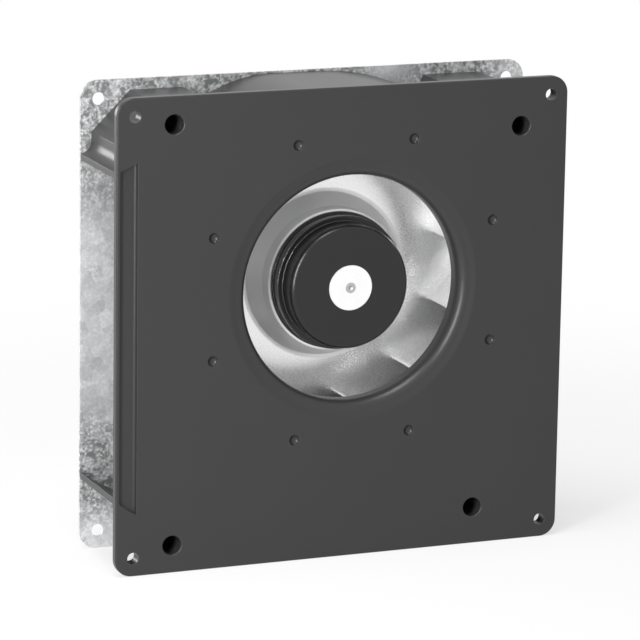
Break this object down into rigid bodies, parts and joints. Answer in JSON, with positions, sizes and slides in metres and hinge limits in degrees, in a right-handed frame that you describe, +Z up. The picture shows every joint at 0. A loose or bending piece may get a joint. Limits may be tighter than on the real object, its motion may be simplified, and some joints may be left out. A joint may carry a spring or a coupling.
{
  "type": "centrifugal blower fan",
  "caption": "Flat square centrifugal blower: dark moulded front with round inlet, sheet back, external-rotor motor, curved-blade impeller, side outlet.",
  "frame": {"origin": "centre of the four corner holes, on the front face around the inlet", "axes": "-Y is the front face's outward normal, +Y the way the impeller's axis and the depth run, +X to the right and +Z up seen from the inlet; air leaves towards -X"},
  "size_m": [0.22, 0.056, 0.22],
  "materials": {
    "housing_plastic": "dark grey moulded, satin",
    "galvanised_sheet": "hot-dip galvanised, spangled",
    "screw_steel": "zinc plated",
    "nut_steel": "zinc plated",
    "cast_flange": "die cast",
    "turned_steel": "turned",
    "bearing_steel": "ground",
    "spring_steel": "tempered",
    "lamination_steel": "stamped, stacked",
    "copper_wire": "enamelled wire",
    "insulator_plastic": "moulded",
    "tinned_pins": "tinned",
    "board_laminate": "solder resist",
    "chip_plastic": "moulded",
    "grommet_rubber": "moulded",
    "black_can": "black, satin",
    "ferrite": "sintered",
    "hub_metal": "die cast, pale",
    "impeller_sheet": "bright sheet"
  },
  "bodies": {
    "housing": {"front_housing": "housing_plastic", "scroll_wall": "housing_plastic", "back_sheet": "galvanised_sheet", "housing_screws": "screw_steel", "clinch_nuts": "nut_steel", "motor_flange": "cast_flange", "flange_screws": "screw_steel", "bearing_tube": "turned_steel", "bearing_outer_rings": "bearing_steel", "wave_washer": "spring_steel", "stator_laminations": "lamination_steel", "stator_coils": "copper_wire", "front_insulator": "insulator_plastic", "rear_insulator": "insulator_plastic", "coil_pins": "tinned_pins", "circuit_board": "board_laminate", "board_screws": "screw_steel", "board_chips": "chip_plastic", "lead_grommet": "grommet_rubber"},
    "rotor": {"rotor_can": "black_can", "magnet_ring": "ferrite", "rotor_hub": "hub_metal", "shaft": "turned_steel", "retaining_clip": "spring_steel", "bearing_inner_rings": "bearing_steel", "bearing_balls": "bearing_steel", "impeller_disc": "impeller_sheet", "impeller_shroud": "impeller_sheet", "blade_01": "impeller_sheet", "blade_02": "impeller_sheet", "blade_03": "impeller_sheet", "blade_04": "impeller_sheet", "blade_05": "impeller_sheet", "blade_06": "impeller_sheet", "blade_07": "impeller_sheet", "blade_08": "impeller_sheet", "blade_09": "impeller_sheet", "blade_10": "impeller_sheet", "blade_11": "impeller_sheet"}
  },
  "joints": [
    {"name": "impeller_spin", "type": "hinge", "parent": "housing", "child": "rotor", "pos_m": [0.0049, 0.0254, 0.016], "axis": [0, 1, 0], "continuous": true}
  ]
}
